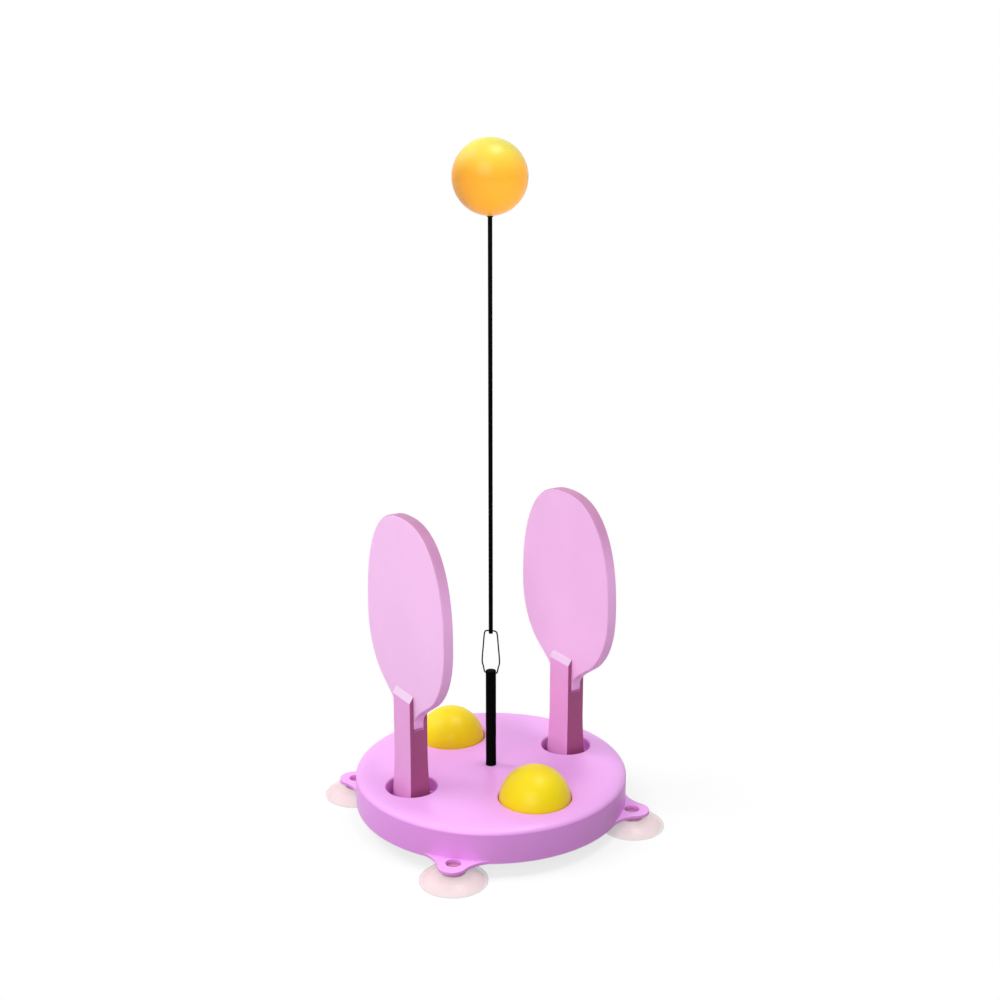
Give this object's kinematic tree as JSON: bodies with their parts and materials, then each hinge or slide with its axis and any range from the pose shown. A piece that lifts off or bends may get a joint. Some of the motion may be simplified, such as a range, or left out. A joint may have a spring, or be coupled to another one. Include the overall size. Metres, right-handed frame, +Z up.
{
  "type": "table tennis trainer",
  "caption": "Table tennis trainer: a ball on a springy upright shaft, on a round suction-cup base that holds rackets and spare balls.",
  "frame": {"origin": "on the surface the suction cups stand on, under the middle of the base", "axes": "+Z up along the post and shaft; the rackets stand on +X and -X, the spare balls lie on +Y and -Y"},
  "size_m": [0.156, 0.156, 0.381],
  "materials": {
    "pink_plastic": "satin, lilac pink moulding",
    "yellow_plastic": "satin, yellow to orange ball",
    "clear_rubber": "clear, faintly pink soft plastic",
    "black_plastic": "black, satin",
    "black_wire": "black spring wire",
    "steel": "plain steel"
  },
  "bodies": {
    "base": {"base_shell": "pink_plastic", "bottom_cover": "pink_plastic", "cover_screw_front_left": "steel", "cover_screw_front_right": "steel", "cover_screw_rear_left": "steel", "cover_screw_rear_right": "steel", "suction_cup_front_left": "clear_rubber", "suction_cup_front_right": "clear_rubber", "suction_cup_rear_left": "clear_rubber", "suction_cup_rear_right": "clear_rubber", "post": "black_plastic", "post_washer": "steel", "post_nut": "steel"},
    "loop": {"spring_loop": "black_wire"},
    "shaft": {"shaft": "black_plastic", "ball_plug": "black_plastic"},
    "top_ball": {"top_ball_upper": "yellow_plastic", "top_ball_lower": "yellow_plastic"},
    "spare_ball_front": {"spare_ball_front_upper": "yellow_plastic", "spare_ball_front_lower": "yellow_plastic"},
    "spare_ball_rear": {"spare_ball_rear_upper": "yellow_plastic", "spare_ball_rear_lower": "yellow_plastic"},
    "racket_left": {"racket_left_handle": "pink_plastic", "racket_left_blade": "pink_plastic"},
    "racket_right": {"racket_right_handle": "pink_plastic", "racket_right_blade": "pink_plastic"}
  },
  "joints": [
    {"name": "loop_sway", "type": "hinge", "parent": "base", "child": "loop", "pos_m": [0, 0, 0.0854], "axis": [-0.7071, 0.7071, 0], "range_deg": [-60, 60], "stiffness_Nm_per_rad": 0.2},
    {"name": "shaft_sway", "type": "hinge", "parent": "loop", "child": "shaft", "pos_m": [0, 0, 0.1108], "axis": [-0.7071, -0.7071, 0], "range_deg": [-18, 18], "stiffness_Nm_per_rad": 0.2},
    {"name": "ball_spin", "type": "hinge", "parent": "shaft", "child": "top_ball", "pos_m": [0, 0, 0.361], "axis": [0, 0, 1], "continuous": true},
    {"name": "spare_ball_front_lift", "type": "slide", "parent": "base", "child": "spare_ball_front", "axis": [0, 0, 1], "range_m": [0, 0.04]},
    {"name": "spare_ball_rear_lift", "type": "slide", "parent": "base", "child": "spare_ball_rear", "axis": [0, 0, 1], "range_m": [0, 0.04]},
    {"name": "racket_left_lift", "type": "slide", "parent": "base", "child": "racket_left", "axis": [0, 0, 1], "range_m": [0, 0.1]},
    {"name": "racket_right_lift", "type": "slide", "parent": "base", "child": "racket_right", "axis": [0, 0, 1], "range_m": [0, 0.1]}
  ]
}
